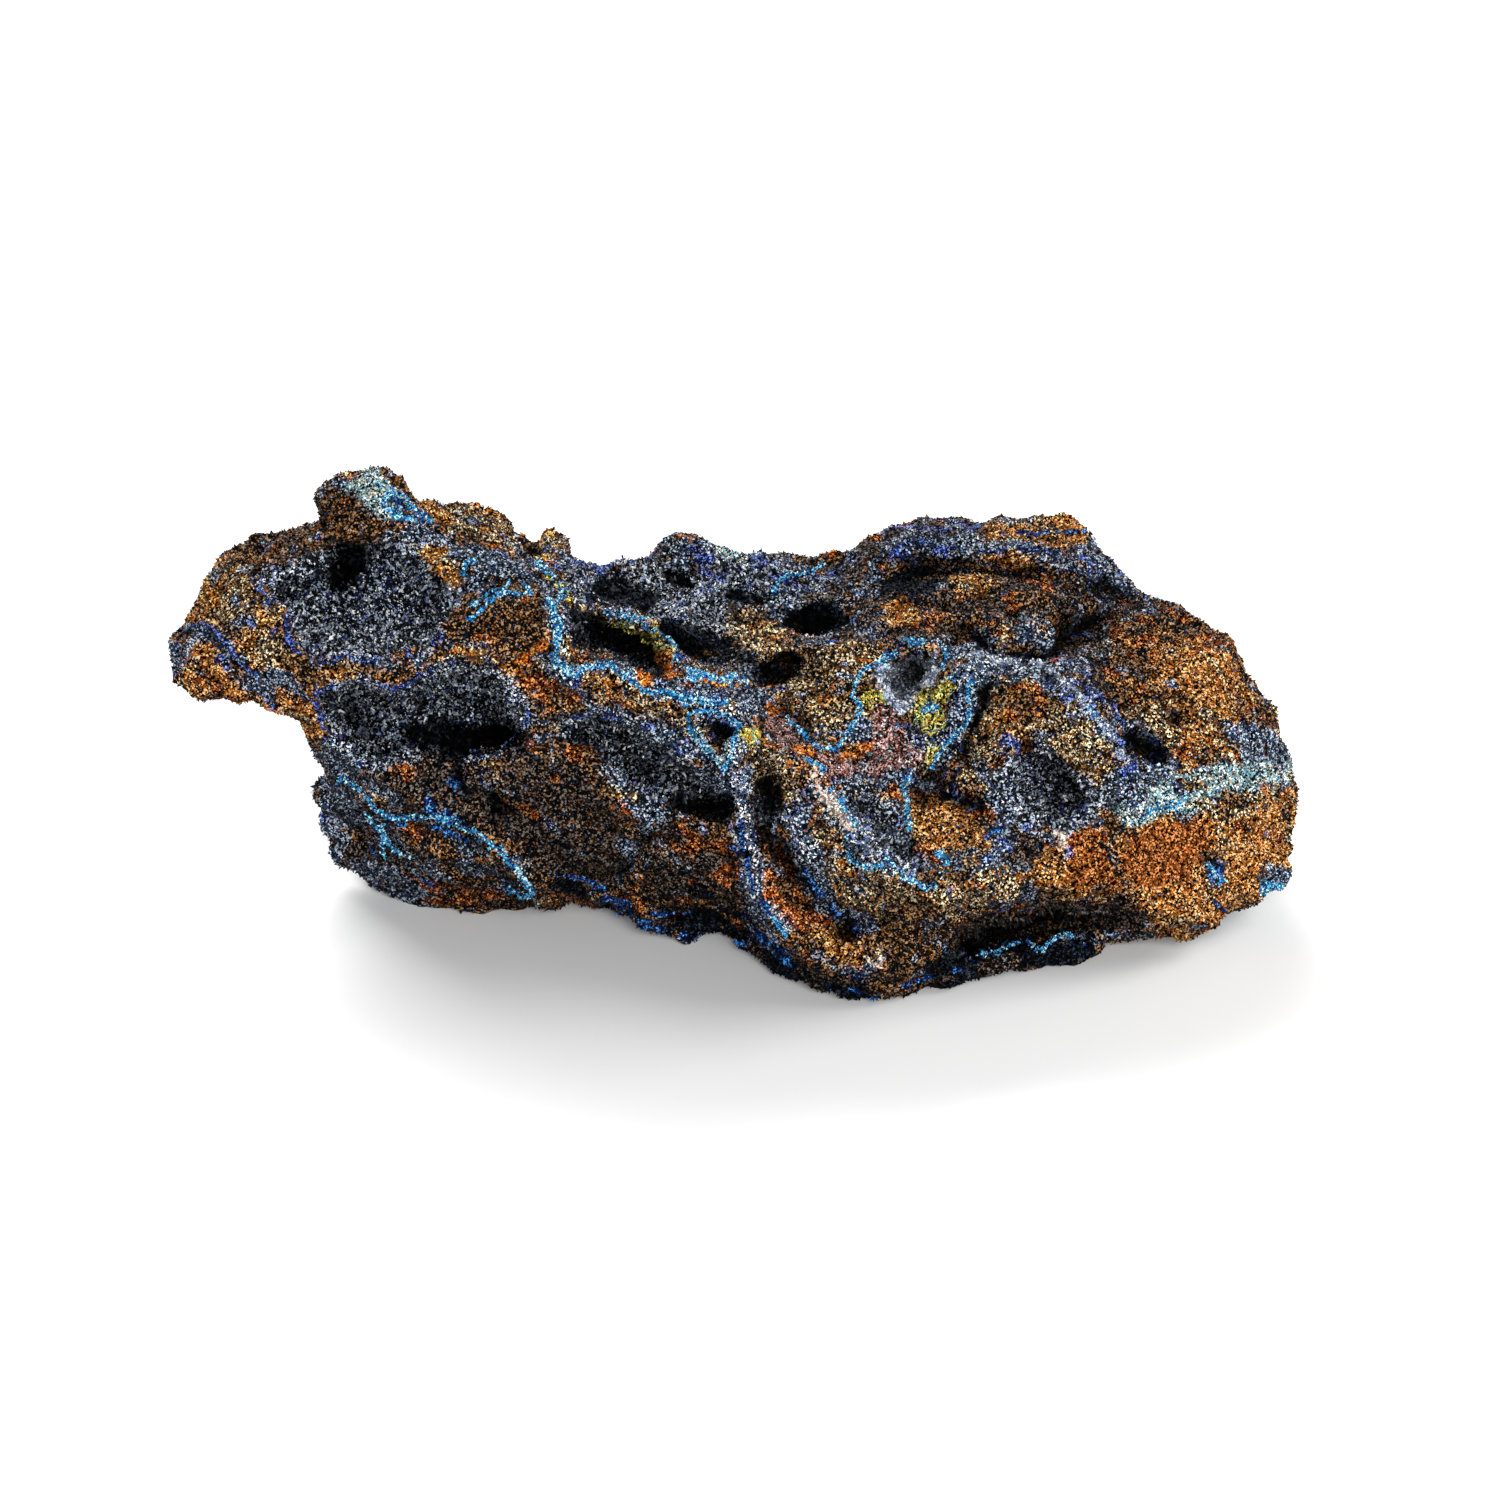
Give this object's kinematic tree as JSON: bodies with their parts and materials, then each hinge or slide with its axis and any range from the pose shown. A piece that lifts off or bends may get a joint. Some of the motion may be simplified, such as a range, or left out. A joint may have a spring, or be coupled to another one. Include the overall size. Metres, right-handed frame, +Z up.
{
  "type": "azurite specimen",
  "caption": "Craggy lump of rusty limonite rock with hollows lined by dark blue azurite crystal crusts, resting on its flat-ground feet.",
  "frame": {"origin": "under the middle of the rock's box, at the level on which it rests", "axes": "+X along the rock's length, to the right as the picture shows it; +Y away from the picture's viewer, through the thickness from front to back; +Z up"},
  "size_m": [0.1094, 0.0582, 0.0436],
  "materials": {
    "limonite": "earthy, grainy",
    "azurite": "glassy small crystals"
  },
  "bodies": {
    "root": {"limonite_matrix": "limonite", "azurite_crust_back_bowl": "azurite", "azurite_crust_back_pocket": "azurite", "azurite_crust_back_valley": "azurite", "azurite_crust_druse_channel": "azurite", "azurite_crust_front_undercut": "azurite", "azurite_crust_left_cavity": "azurite", "azurite_crust_lobe_hollow": "azurite", "azurite_crust_long_cavity": "azurite", "azurite_crust_middle_pocket": "azurite", "azurite_crust_ridge_slot": "azurite", "azurite_crust_upper_bowl": "azurite"}
  },
  "joints": []
}
